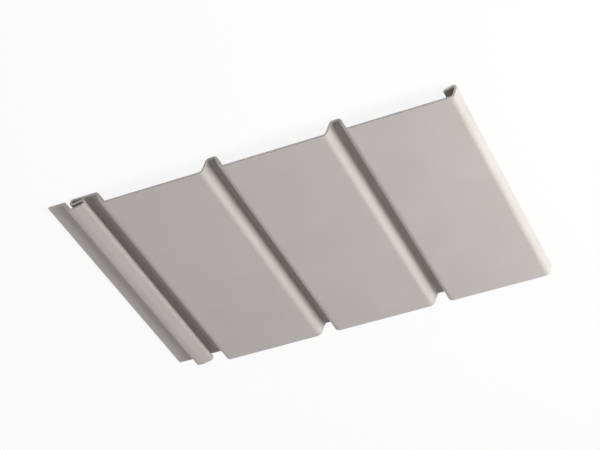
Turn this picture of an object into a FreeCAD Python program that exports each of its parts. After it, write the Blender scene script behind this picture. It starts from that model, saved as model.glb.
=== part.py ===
import FreeCAD, Part
import math
import os

# Sizes in millimetres, angles in degrees. Bend radii are those of the middle of the sheet.
panel_length = 228.6          # sawn length of the piece
panel_height = 13.4           # finished face down to the underside of the grooves
sheet = 2.0                   # wall thickness of the extrusion

face_count = 3                # flat faces across the panel
face_pitch = 101.6            # one flat face and one groove
groove_floor = 7.0            # groove floor between its two bend corners
groove_angle = 69.5           # slope of the groove sides
face_bend = 3.8               # bend where a flat face turns down
floor_bend = 2.6              # bend where a groove side meets its floor

hook_face = 84.3              # flat face beside the hook, between its bend corners
hook_angle = 75.0             # slope of the hook leg
hook_lift = 1.15              # underside of the hook above the groove undersides
hook_turn = 123.0             # how far the hook folds back
hook_bend = 2.0
hook_return = 6.4             # straight part of the folded-back lip

channel_floor = 19.0          # straight floor of the lock channel
curl_bend = 2.2               # lower fold of the lock
nose_bend = 2.35              # rounded nose that overhangs the channel
fold_tilt = 13.0              # slope of the two legs behind the nose
inner_leg = 6.3               # straight part between lower fold and nose
outer_leg = 5.5               # straight part from the nose back
level_bend = 8.0              # gentle bend that levels the outer leg
crest = 2.4                   # level part at the top of the lock

flange_angle = 65.0           # slope down from the lock to the nail flange
crest_bend = 3.2
flange_bend = 2.4
flange_lift = 0.7             # underside of the flange above the groove undersides
flange_width = 12.2           # straight part of the nail flange


def tangent(radius, turn):
    """Length a bend takes up on each side of its corner."""
    return radius * math.tan(math.radians(abs(turn)) / 2)


def slope_run(drop, angle, upper, lower):
    """Straight part of a sloping side that falls by drop between two bends."""
    whole = drop / math.sin(math.radians(angle))
    return whole - tangent(upper, angle) - tangent(lower, angle)


def hook():
    """Lip and leg of the hook, up to the first flat face."""
    slope = math.radians(hook_angle)
    height = panel_height - sheet - hook_lift
    height -= face_bend * (1 - math.cos(slope)) + hook_bend * (1 + math.cos(slope))
    leg = height / math.sin(slope)
    steps = [("run", hook_return), ("bend", -hook_turn, hook_bend)]
    steps += [("run", leg), ("bend", -hook_angle, face_bend)]
    return steps


def side_and_floor(floor_run):
    """Down the side of a groove and along its floor."""
    drop = panel_height - sheet
    side = slope_run(drop, groove_angle, face_bend, floor_bend)
    steps = [("bend", -groove_angle, face_bend), ("run", side)]
    steps += [("bend", groove_angle, floor_bend), ("run", floor_run)]
    return steps


def groove():
    """A whole groove between two flat faces."""
    drop = panel_height - sheet
    side = slope_run(drop, groove_angle, face_bend, floor_bend)
    floor_run = groove_floor - 2 * tangent(floor_bend, groove_angle)
    steps = side_and_floor(floor_run)
    steps += [("bend", groove_angle, floor_bend), ("run", side)]
    steps += [("bend", -groove_angle, face_bend)]
    return steps


def faces():
    """Flat faces from the hook to the lock channel with the grooves between them."""
    drop = panel_height - sheet
    opening = groove_floor + 2 * drop / math.tan(math.radians(groove_angle))
    flat = face_pitch - opening - 2 * tangent(face_bend, groove_angle)
    first = hook_face - tangent(face_bend, hook_angle) - tangent(face_bend, groove_angle)
    steps = [("run", first)]
    for number in range(face_count - 1):
        steps += groove() + [("run", flat)]
    return steps


def lock():
    """Lock channel, lower fold and overhanging nose."""
    steps = side_and_floor(channel_floor)
    steps += [("bend", 180 + fold_tilt, curl_bend), ("run", inner_leg)]
    steps += [("bend", -180, nose_bend), ("run", outer_leg)]
    steps += [("bend", -fold_tilt, level_bend), ("run", crest)]
    return steps


def crest_height():
    """Height of the middle of the sheet along the level crest of the lock."""
    tilt = math.radians(fold_tilt)
    height = sheet / 2 + curl_bend * (1 + math.cos(tilt))
    height += (outer_leg - inner_leg) * math.sin(tilt) + 2 * nose_bend * math.cos(tilt)
    return height + level_bend * (1 - math.cos(tilt))


def flange():
    """Slope down from the crest and the nail flange."""
    drop = crest_height() - flange_lift - sheet / 2
    slope = slope_run(drop, flange_angle, crest_bend, flange_bend)
    steps = [("bend", -flange_angle, crest_bend), ("run", slope)]
    steps += [("bend", flange_angle, flange_bend), ("run", flange_width)]
    return steps


def beside(point, heading, offset):
    """Point moved to the left of the heading by offset."""
    angle = math.radians(heading)
    return point + FreeCAD.Vector(-math.sin(angle), 0, math.cos(angle)) * offset


def section(steps, heading):
    """Closed face of the sheet that follows the steps, with rounded free edges."""
    point = FreeCAD.Vector(0, 0, 0)
    half = sheet / 2
    left, right = [], []
    start = (point, heading)
    for step in steps:
        if step[0] == "run":
            angle = math.radians(heading)
            end = point + FreeCAD.Vector(math.cos(angle), 0, math.sin(angle)) * step[1]
            for edges, offset in ((left, half), (right, -half)):
                ends = beside(point, heading, offset), beside(end, heading, offset)
                edges.append(Part.makeLine(*ends))
            point = end
        else:
            turn, radius = step[1], math.copysign(step[2], step[1])
            centre = beside(point, heading, radius)
            for edges, offset in ((left, half), (right, -half)):
                marks = [beside(centre, heading + turn * part, offset - radius) for part in (0, 0.5, 1)]
                edges.append(Part.Arc(*marks).toShape())
            heading += turn
            point = beside(centre, heading, -radius)
    caps = [rounded_edge(start[0], start[1] + 180), rounded_edge(point, heading)]
    wire = Part.Wire(caps[:1] + left + caps[1:] + right[::-1])
    return Part.Face(wire)


def rounded_edge(point, heading):
    """Half circle that closes the sheet at a free edge."""
    half = sheet / 2
    angle = math.radians(heading)
    tip = point + FreeCAD.Vector(math.cos(angle), 0, math.sin(angle)) * half
    return Part.Arc(beside(point, heading, half), tip, beside(point, heading, -half)).toShape()


def soffit_panel():
    """The panel as one extrusion, finished face up, hook toward minus X."""
    steps = hook() + faces() + lock() + flange()
    outline = section(steps, hook_turn + hook_angle)
    solid = outline.extrude(FreeCAD.Vector(0, panel_length, 0))
    box = solid.BoundBox
    solid.translate(FreeCAD.Vector(-box.Center.x, -box.Center.y, -box.ZMin))
    return solid


os.makedirs("parts", exist_ok=True)
panel = soffit_panel()
panel.exportStep("parts/soffit_panel.step")
size = panel.BoundBox
print("soffit_panel", round(size.XLength, 2), round(size.YLength, 2), round(size.ZLength, 2))
print("volume", round(panel.Volume, 1), "valid", panel.isValid())
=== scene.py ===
import math

import bpy
import numpy as np
from mathutils import Matrix, Vector


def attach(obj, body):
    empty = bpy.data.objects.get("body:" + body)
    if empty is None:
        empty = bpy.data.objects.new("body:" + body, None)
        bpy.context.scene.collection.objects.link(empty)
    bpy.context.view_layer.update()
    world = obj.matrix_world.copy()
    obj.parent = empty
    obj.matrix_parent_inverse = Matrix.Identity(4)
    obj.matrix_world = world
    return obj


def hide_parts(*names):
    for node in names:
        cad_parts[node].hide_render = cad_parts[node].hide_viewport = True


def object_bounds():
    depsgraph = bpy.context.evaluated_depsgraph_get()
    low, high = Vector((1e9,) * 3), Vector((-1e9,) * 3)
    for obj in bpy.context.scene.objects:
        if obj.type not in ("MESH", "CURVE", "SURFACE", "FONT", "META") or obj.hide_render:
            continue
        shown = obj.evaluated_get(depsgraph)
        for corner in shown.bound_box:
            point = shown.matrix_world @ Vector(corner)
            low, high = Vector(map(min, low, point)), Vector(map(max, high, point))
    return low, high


# A sawn piece of extruded PVC soffit, lying finished face up on a pale table.

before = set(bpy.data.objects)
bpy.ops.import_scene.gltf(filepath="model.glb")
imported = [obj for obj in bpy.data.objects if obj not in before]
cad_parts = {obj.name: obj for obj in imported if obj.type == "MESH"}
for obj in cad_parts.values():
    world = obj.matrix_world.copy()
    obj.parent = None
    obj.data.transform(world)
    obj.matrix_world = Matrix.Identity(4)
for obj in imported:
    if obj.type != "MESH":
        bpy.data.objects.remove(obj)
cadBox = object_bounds()
print("frame loaded,", *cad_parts, [round(side, 4) for side in cadBox[1] - cadBox[0]])


def linearColour(hexColour):
    # sRGB hex to linear: c/12.92 up to 0.04045, else ((c + 0.055)/1.055)^2.4
    channels = [int(hexColour[i:i + 2], 16) / 255 for i in (1, 3, 5)]
    linear = [c / 12.92 if c <= 0.04045 else ((c + 0.055) / 1.055) ** 2.4 for c in channels]
    return (*linear, 1.0)


def addNode(tree, kind, settings=None, inputs=None, links=None):
    # one node with its settings, its fixed input values, and the sockets that feed its inputs;
    # an input goes by its name, or by its number where several share a name
    node = tree.nodes.new(kind)
    for name, value in (settings or {}).items():
        setattr(node, name, value)
    for name, value in (inputs or {}).items():
        node.inputs[name].default_value = value
    for name, socket in (links or {}).items():
        tree.links.new(socket, node.inputs[name])
    return node


def place(thing):
    # an object that is ready to use goes into the scene
    bpy.context.scene.collection.objects.link(thing)
    return thing


# the panel: one sheet carried round its section and along the extrusion; lengths are in metres and
# angles in degrees, and a bend's radius is that of the middle of the sheet

panelSizes = {
    "sheet": 0.0020,          # wall thickness of the extrusion
    "faceCount": 3,           # flat faces across the panel
    "facePitch": 0.1016,      # one flat face and one groove
    "grooveFloor": 0.0070,    # groove floor between its two bend corners
    "grooveAngle": 69.5,      # slope of the groove sides
    "faceBend": 0.0038,       # where a flat face turns down
    "floorBend": 0.0026,      # where a groove side meets its floor
    "hookFace": 0.0843,       # flat face beside the hook, between its bend corners
    "hookAngle": 75.0,        # slope of the hook leg
    "hookLift": 0.00115,      # underside of the hook above the groove undersides
    "hookTurn": 123.0,        # how far the hook folds back
    "hookBend": 0.0020,
    "hookReturn": 0.0064,     # straight part of the folded-back lip
    "channelFloor": 0.0190,   # straight floor of the lock channel
    "curlBend": 0.0022,       # lower fold of the lock
    "noseBend": 0.00235,      # rounded nose that overhangs the channel
    "foldTilt": 13.0,         # slope of the two legs behind the nose
    "innerLeg": 0.0063,       # straight part from the lower fold to the nose
    "outerLeg": 0.0055,       # straight part from the nose back
    "levelBend": 0.0080,      # gentle bend that levels the outer leg
    "crest": 0.0024,          # level part at the top of the lock
    "flangeAngle": 65.0,      # slope from the crest down to the nail flange
    "crestBend": 0.0032,
    "flangeBend": 0.0024,
    "flangeLift": 0.0007,     # underside of the flange above the groove undersides
    "flangeWidth": 0.0122,    # straight part of the nail flange
    "sawnEdge": 0.0003,       # tiny round left on the sawn edges
    "sawnRings": 4,           # rows round a sawn edge
    "bendStep": 5.0,          # degrees between stations round a bend
    "edgeStep": 22.5,         # degrees between stations round a free edge
    "runStep": 0.008,         # metres between stations along a straight run
    "bendMargin": 0.0003,     # a run has a station this near each end, so that it shades flat
    "lengthStep": 0.012,      # metres between stations along the extrusion
}


def bendTangent(radius, turn):
    # length that a bend takes up on each side of its corner: radius * tan(turn / 2)
    return radius * math.tan(math.radians(abs(turn)) / 2)


def slopeRun(drop, angle, upperBend, lowerBend):
    # straight part of a sloping side: drop / sin(angle) less what its two bends take up
    whole = drop / math.sin(math.radians(angle))
    return whole - bendTangent(upperBend, angle) - bendTangent(lowerBend, angle)


def hookSteps(sizes, drop):
    # lip and leg of the hook, up to the first flat face: the leg is what its lift and its two bends
    # leave of the drop, over sin(angle), where a bend takes radius * (1 -+ cos(angle)) of the height
    slope = math.radians(sizes["hookAngle"])
    height = drop - sizes["hookLift"] - sizes["faceBend"] * (1 - math.cos(slope))
    height -= sizes["hookBend"] * (1 + math.cos(slope))
    return [("run", sizes["hookReturn"]), ("bend", -sizes["hookTurn"], sizes["hookBend"]),
            ("run", height / math.sin(slope)), ("bend", -sizes["hookAngle"], sizes["faceBend"])]


def faceSteps(sizes, drop):
    # flat faces with the grooves between them, and the side that leads down into the lock channel:
    # a groove opens to floor + 2 * drop / tan(angle), and a flat face is the rest of the pitch
    # between the ends of its bends
    angle, faceBend, floorBend = sizes["grooveAngle"], sizes["faceBend"], sizes["floorBend"]
    side = ("run", slopeRun(drop, angle, faceBend, floorBend))
    floor = ("run", sizes["grooveFloor"] - 2 * bendTangent(floorBend, angle))
    opening = sizes["grooveFloor"] + 2 * drop / math.tan(math.radians(angle))
    flat = ("run", sizes["facePitch"] - opening - 2 * bendTangent(faceBend, angle))
    first = sizes["hookFace"] - bendTangent(faceBend, sizes["hookAngle"]) - bendTangent(faceBend, angle)
    down = [("bend", -angle, faceBend), side, ("bend", angle, floorBend)]
    up = [("bend", angle, floorBend), side, ("bend", -angle, faceBend)]
    return [("run", first)] + (down + [floor] + up + [flat]) * (sizes["faceCount"] - 1) + down


def lockSteps(sizes):
    # channel floor, lower fold by half a turn and the tilt, nose by half a turn back, and a gentle
    # bend by the tilt to the level crest
    return [("run", sizes["channelFloor"]), ("bend", 180 + sizes["foldTilt"], sizes["curlBend"]),
            ("run", sizes["innerLeg"]), ("bend", -180, sizes["noseBend"]), ("run", sizes["outerLeg"]),
            ("bend", -sizes["foldTilt"], sizes["levelBend"]), ("run", sizes["crest"])]


def flangeSteps(sizes):
    # slope from the crest down to the nail flange: its drop is the crest's height less the flange's,
    # and the crest's height adds up radius * (1 -+ cos(tilt)) of each bend and leg * sin(tilt)
    tilt = math.radians(sizes["foldTilt"])
    crestHeight = sizes["curlBend"] * (1 + math.cos(tilt)) + 2 * sizes["noseBend"] * math.cos(tilt)
    crestHeight += (sizes["outerLeg"] - sizes["innerLeg"]) * math.sin(tilt)
    crestHeight += sizes["levelBend"] * (1 - math.cos(tilt))
    angle, drop = sizes["flangeAngle"], crestHeight - sizes["flangeLift"]
    slope = slopeRun(drop, angle, sizes["crestBend"], sizes["flangeBend"])
    return [("bend", -angle, sizes["crestBend"]), ("run", slope),
            ("bend", angle, sizes["flangeBend"]), ("run", sizes["flangeWidth"])]


def middleLine(steps, heading, sizes):
    # stations along the middle of the sheet, each with its heading in radians:
    # a run goes on by t*(cos a, sin a), and a bend turns by its angle about a centre to one side
    margin = sizes["bendMargin"]
    point, angle = np.zeros(2), math.radians(heading)
    points, angles = [point[None]], [np.array([angle])]
    for kind, size, *radius in steps:
        if kind == "run":
            even = np.linspace(0, size, math.ceil(size / sizes["runStep"]) + 1)[1:]
            along = np.unique(np.concatenate([even, [margin, size - margin]]))
            points.append(point + along[:, None] * np.array([math.cos(angle), math.sin(angle)]))
            angles.append(np.full(len(along), angle))
        else:
            turn = math.radians(size)
            reach = math.copysign(radius[0], turn)
            turned = angle + np.linspace(0, turn, math.ceil(abs(size) / sizes["bendStep"]) + 1)[1:]
            centre = point + reach * np.array([-math.sin(angle), math.cos(angle)])
            points.append(centre + reach * np.stack([np.sin(turned), -np.cos(turned)], 1))
            angles.append(turned)
            angle += turn
        point = points[-1][-1]
    return np.concatenate(points), np.concatenate(angles)


def sectionRing(points, angles, edgeStep):
    # closed ring round the sheet as base(u) + half thickness * outward(u): base is the middle line
    # there and back, and outward points across the sheet and swings half a turn about each free edge
    across = np.stack([-np.sin(angles), np.cos(angles)], 1)
    swing = np.radians(np.arange(edgeStep, 180, edgeStep))
    lastEdge, firstEdge = [np.stack([np.cos(start - swing), np.sin(start - swing)], 1)
                           for start in (angles[-1] + math.pi / 2, angles[0] - math.pi / 2)]
    base = np.concatenate([points, np.repeat(points[-1:], len(swing), 0),
                           points[::-1], np.repeat(points[:1], len(swing), 0)])
    outward = np.concatenate([across, lastEdge, -across[::-1], firstEdge])
    return base, outward, len(swing)


def lengthRows(sizes, low, high):
    # rows along the extrusion: y and half thickness; each sawn edge is a quarter circle of radius e,
    # y = e*(1 - cos s) and half thickness = sheet/2 - e*(1 - sin s), with a row at 2e to keep the rest flat
    edge, half = sizes["sawnEdge"], sizes["sheet"] / 2
    turn = np.linspace(0, math.pi / 2, sizes["sawnRings"])
    roundY, roundHalf = edge * (1 - np.cos(turn)), half - edge * (1 - np.sin(turn))
    middle = np.linspace(low + 2 * edge, high - 2 * edge, math.ceil((high - low) / sizes["lengthStep"]) + 1)
    y = np.concatenate([low + roundY, middle, high - roundY[::-1]])
    return y, np.concatenate([roundHalf, np.full(len(middle), half), roundHalf[::-1]])


def sawnFaces(count, rounding):
    # one sawn end: a strip of quads between the two sides of the sheet, where station i on the left
    # is across from station (ring - rounding - 1 - i), and a half disc at each free edge
    ring = 2 * (count + rounding)     # stations round the whole section
    left = np.arange(count)
    right = ring - rounding - 1 - left
    strip = np.stack([left[:-1], right[:-1], right[1:], left[1:]], -1)
    lastDisc = list(range(count + rounding, count - 2, -1))
    firstDisc = [0] + list(range(ring - 1, ring - rounding - 2, -1))
    return strip.tolist() + [lastDisc, firstDisc]


def panelMesh(sizes, low, high):
    # skin(u, y) = base(u) + half thickness(y) * outward(u) in the section, moved so that its lowest
    # corner is the CAD box's, and closed by the two sawn ends
    drop = high.z - low.z - sizes["sheet"]
    steps = hookSteps(sizes, drop) + faceSteps(sizes, drop) + lockSteps(sizes) + flangeSteps(sizes)
    points, angles = middleLine(steps, sizes["hookTurn"] + sizes["hookAngle"], sizes)
    base, outward, rounding = sectionRing(points, angles, sizes["edgeStep"])
    y, halfThickness = lengthRows(sizes, low.y, high.y)
    section = base + halfThickness.max() * outward
    skin = base + halfThickness[:, None, None] * outward + (np.array([low.x, low.z]) - section.min(0))
    rows, columns = skin.shape[:2]
    vertices = np.stack([skin[..., 0], np.broadcast_to(y[:, None], (rows, columns)), skin[..., 1]], -1)

    here = np.arange(rows * columns).reshape(rows, columns)
    beside = np.roll(here, -1, 1)
    quads = np.stack([here[:-1], beside[:-1], beside[1:], here[1:]], -1).reshape(-1, 4).tolist()
    nearEnd = sawnFaces(len(points), rounding)
    farEnd = [[index + here[-1, 0] for index in reversed(face)] for face in nearEnd]

    mesh = bpy.data.meshes.new("soffitPanel")
    mesh.from_pydata(vertices.reshape(-1, 3).tolist(), [], quads + nearEnd + farEnd)
    sawn = np.arange(len(mesh.polygons)) >= len(quads)
    mesh.polygons.foreach_set("use_smooth", ~sawn)
    mesh.polygons.foreach_set("material_index", sawn.astype(np.int32))
    mesh.update()
    return mesh


pvcLook = {
    "paleGrey": "#C0BBB6",     # lighter and darker cloudiness in the compound
    "darkGrey": "#B6B1AC",
    "cloud": 0.035,            # metres across one cloud
    "dieLine": 0.0022,         # spacing of die lines; real ones are 0.3 mm and would not show
    "dieLineLength": 0.4,      # metres before a line fades or shifts
    "dieLineDepth": 0.000012,
    "dieLineSpread": (0.3, 0.7),   # the part of the noise's range that carries the sheen's change
    "skinGrain": 0.0007,       # matte skin; real grain is 0.1 mm and would not show
    "skinGrainDepth": 0.000006,
    "smoothest": 0.44,         # satin roughness, from the polished lines to the dull ones
    "roughest": 0.54,
    "ior": 1.53,
    "sawnPale": "#D2CDC8",     # whitened ridges of the tooth marks, and painted shade in their hollows
    "sawnShadedHollow": "#9C9792",
    "sawMark": 0.0009,         # spacing of tooth marks; real ones are finer and would not show
    "sawMarkHeight": 0.006,
    "sawMarkDepth": 0.00006,
    "sawnRoughness": 0.7,
}


def plainMaterial(name):
    # new material, its node tree and its shader
    material = bpy.data.materials.new(name)
    material.use_nodes = True
    return material, material.node_tree, material.node_tree.nodes["Principled BSDF"]


def unevenPattern(tree, cell):
    # smooth noise from 0 to 1 on Object coordinates, whose cells measure cell[0] x cell[1] x cell[2] metres
    spot = addNode(tree, "ShaderNodeTexCoord")
    scaled = addNode(tree, "ShaderNodeMapping", inputs={"Scale": [1 / side for side in cell]},
                     links={"Vector": spot.outputs["Object"]})
    noise = addNode(tree, "ShaderNodeTexNoise", inputs={"Scale": 1.0, "Detail": 3.0},
                    links={"Vector": scaled.outputs["Vector"]})
    return noise.outputs["Fac"]


def colourAndRelief(tree, shader, tint, reliefs):
    # base colour = dark + pattern * (pale - dark), and reliefs laid one over another, each of them
    # as many metres high as its depth says where its pattern is 1
    pattern, dark, pale = tint
    darkInput, paleInput, greyOutput = 6, 7, 2     # a Mix node's sockets for colours
    grey = addNode(tree, "ShaderNodeMix", {"data_type": "RGBA"},
                   {darkInput: linearColour(dark), paleInput: linearColour(pale)}, {"Factor": pattern})
    tree.links.new(grey.outputs[greyOutput], shader.inputs["Base Color"])
    below = {}
    for pattern, depth in reliefs:
        bump = addNode(tree, "ShaderNodeBump", inputs={"Strength": 1.0, "Distance": depth},
                       links={"Height": pattern, **below})
        below = {"Normal": bump.outputs["Normal"]}
    tree.links.new(below["Normal"], shader.inputs["Normal"])


def extrudedPvc(look):
    # rigid PVC pushed through a polished die and cooled on plates: an even satin skin with a fine
    # matte grain, faint die lines that run the whole length, and a very slight cloudiness in the grey
    material, tree, shader = plainMaterial("extruded PVC")
    cloud = unevenPattern(tree, [look["cloud"]] * 3)
    dieLines = unevenPattern(tree, (look["dieLine"], look["dieLineLength"], look["dieLine"]))
    grain = unevenPattern(tree, [look["skinGrain"]] * 3)
    colourAndRelief(tree, shader, (cloud, look["darkGrey"], look["paleGrey"]),
                    ((dieLines, look["dieLineDepth"]), (grain, look["skinGrainDepth"])))
    low, high = look["dieLineSpread"]
    sheen = addNode(tree, "ShaderNodeMapRange", links={"Value": dieLines},
                    inputs={"From Min": low, "From Max": high,
                            "To Min": look["smoothest"], "To Max": look["roughest"]})
    tree.links.new(sheen.outputs["Result"], shader.inputs["Roughness"])
    shader.inputs["IOR"].default_value = look["ior"]
    return material


def sawnPvc(look):
    # the same compound cut by a fine saw: coloured all through, dull, with close upright tooth marks
    material, tree, shader = plainMaterial("sawn PVC")
    marks = unevenPattern(tree, (look["sawMark"], look["sawMark"], look["sawMarkHeight"]))
    # colour follows the tooth marks' relief: whitened ridges, and painted shade in the hollows, darker than
    # the compound
    colourAndRelief(tree, shader, (marks, look["sawnShadedHollow"], look["sawnPale"]),
                    ((marks, look["sawMarkDepth"]),))
    shader.inputs["Roughness"].default_value = look["sawnRoughness"]
    shader.inputs["IOR"].default_value = look["ior"]
    return material


panel = place(bpy.data.objects.new("panel_sheet", panelMesh(panelSizes, *cadBox)))
for material in (extrudedPvc(pvcLook), sawnPvc(pvcLook)):
    panel.data.materials.append(material)
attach(panel, "root")
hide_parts("soffit_panel")
print("panel made,", len(panel.data.polygons), "faces")


# the table and the room: white to the camera and in reflections, dim to everything else

studio = {
    "tableSide": 12.0,
    "tableColour": "#F4F3F1",
    "tableRoughness": 0.9,
    "tableWhite": 0.9,        # share of the table that looks plain white, with no shadow on it
    "roomColour": "#FFFFFF",
    "roomFill": 0.10,         # the room's strength as a light
}


def looking(tree):
    # 1 for a ray that comes from the camera, a gloss or a clear thing, else 0: the largest of the three
    rays = addNode(tree, "ShaderNodeLightPath").outputs
    largest = rays["Is Camera Ray"]
    for ray in ("Is Glossy Ray", "Is Transmission Ray"):
        largest = addNode(tree, "ShaderNodeMath", {"operation": "MAXIMUM"},
                          links={0: largest, 1: rays[ray]}).outputs["Value"]
    return largest


def paleTable(look):
    # matt painted board: plain and pale, and it keeps a soft shadow under the panel; what looks at it
    # sees white by the share tableWhite and the painted board by the rest
    material, tree, shader = plainMaterial("matt painted board")
    shader.inputs["Base Color"].default_value = linearColour(look["tableColour"])
    shader.inputs["Roughness"].default_value = look["tableRoughness"]
    white = addNode(tree, "ShaderNodeEmission", inputs={"Strength": 1.0})
    share = addNode(tree, "ShaderNodeMath", {"operation": "MULTIPLY"}, {1: look["tableWhite"]},
                    {0: looking(tree)})
    seen = addNode(tree, "ShaderNodeMixShader",
                   links={"Fac": share.outputs["Value"], 1: shader.outputs["BSDF"],
                          2: white.outputs["Emission"]})
    tree.links.new(seen.outputs["Shader"], tree.nodes["Material Output"].inputs["Surface"])
    return material


def tableTop(look):
    # one square about the origin, side / 2 each way, at the height that the panel rests on
    corners = np.array([(-1, -1, 0), (1, -1, 0), (1, 1, 0), (-1, 1, 0)]) * look["tableSide"] / 2
    mesh = bpy.data.meshes.new("table")
    mesh.from_pydata(corners.tolist(), [], [(0, 1, 2, 3)])
    mesh.materials.append(paleTable(look))
    return mesh


def whiteRoom(look):
    # white where the camera, a gloss or a clear thing looks at it, and a weak even light elsewhere:
    # its strength is the larger of looking and roomFill
    world = bpy.data.worlds.new("white room")
    world.use_nodes = True
    tree = world.node_tree
    strength = addNode(tree, "ShaderNodeMath", {"operation": "MAXIMUM"}, {1: look["roomFill"]},
                       {0: looking(tree)})
    room = tree.nodes["Background"]
    room.inputs["Color"].default_value = linearColour(look["roomColour"])
    tree.links.new(strength.outputs["Value"], room.inputs["Strength"])
    return world


place(bpy.data.objects.new("table", tableTop(studio)))
bpy.context.scene.world = whiteRoom(studio)
print("table and room made")


# round soft lamps, all aimed at the origin: a key beside the hook, a fill beyond the nail flange
# and a weak one before the near sawn end; metres, degrees and watts

lampPlaces = {
    "key": {"azimuth": 180.0, "elevation": 30.0, "distance": 1.1, "size": 0.66, "power": 13.7},
    "fill": {"azimuth": 0.0, "elevation": 35.0, "distance": 2.0, "size": 1.2, "power": 12.0},
    "front": {"azimuth": 270.0, "elevation": 10.0, "distance": 2.0, "size": 1.2, "power": 9.0},
}


def softLamp(name, lamp):
    # round lamp at distance * (cos az * cos el, sin az * cos el, sin el), turned to face the origin
    light = bpy.data.lights.new(name, "AREA")
    light.shape = "DISK"
    light.size = lamp["size"]
    light.energy = lamp["power"]
    azimuth, elevation = math.radians(lamp["azimuth"]), math.radians(lamp["elevation"])
    level = math.cos(elevation)
    toward = Vector((math.cos(azimuth) * level, math.sin(azimuth) * level, math.sin(elevation)))
    holder = place(bpy.data.objects.new(name, light))
    holder.location = toward * lamp["distance"]
    holder.rotation_euler = toward.to_track_quat("Z", "Y").to_euler()


for name, lamp in lampPlaces.items():
    softLamp(name, lamp)
print("lamps placed")


# the panel is stored finished face up, but is looked at as from under an eave, so the camera stands
# above it and is rolled by nearly half a turn; metres, degrees, and millimetres for lens and sensor

cameraPlace = {
    "stand": (-0.4255, -1.00498, 0.89013),
    "aim": (-0.00432, -0.01997, 0.0067),
    "roll": 179.25,
    "lens": 105.86,
    "sensor": 36.0,
}


def standCamera(settings):
    # looks from stand to aim, then turns about that line by roll
    data = bpy.data.cameras.new("camera")
    data.lens, data.sensor_width = settings["lens"], settings["sensor"]
    stand, aim = Vector(settings["stand"]), Vector(settings["aim"])
    facing = (stand - aim).to_track_quat("Z", "Y").to_matrix().to_4x4()
    roll = Matrix.Rotation(math.radians(settings["roll"]), 4, "Z")
    camera = place(bpy.data.objects.new("camera", data))
    camera.matrix_world = Matrix.Translation(stand) @ facing @ roll
    return camera


bpy.context.scene.camera = standCamera(cameraPlace)
bpy.context.scene.view_settings.view_transform = "Standard"
print("camera placed")
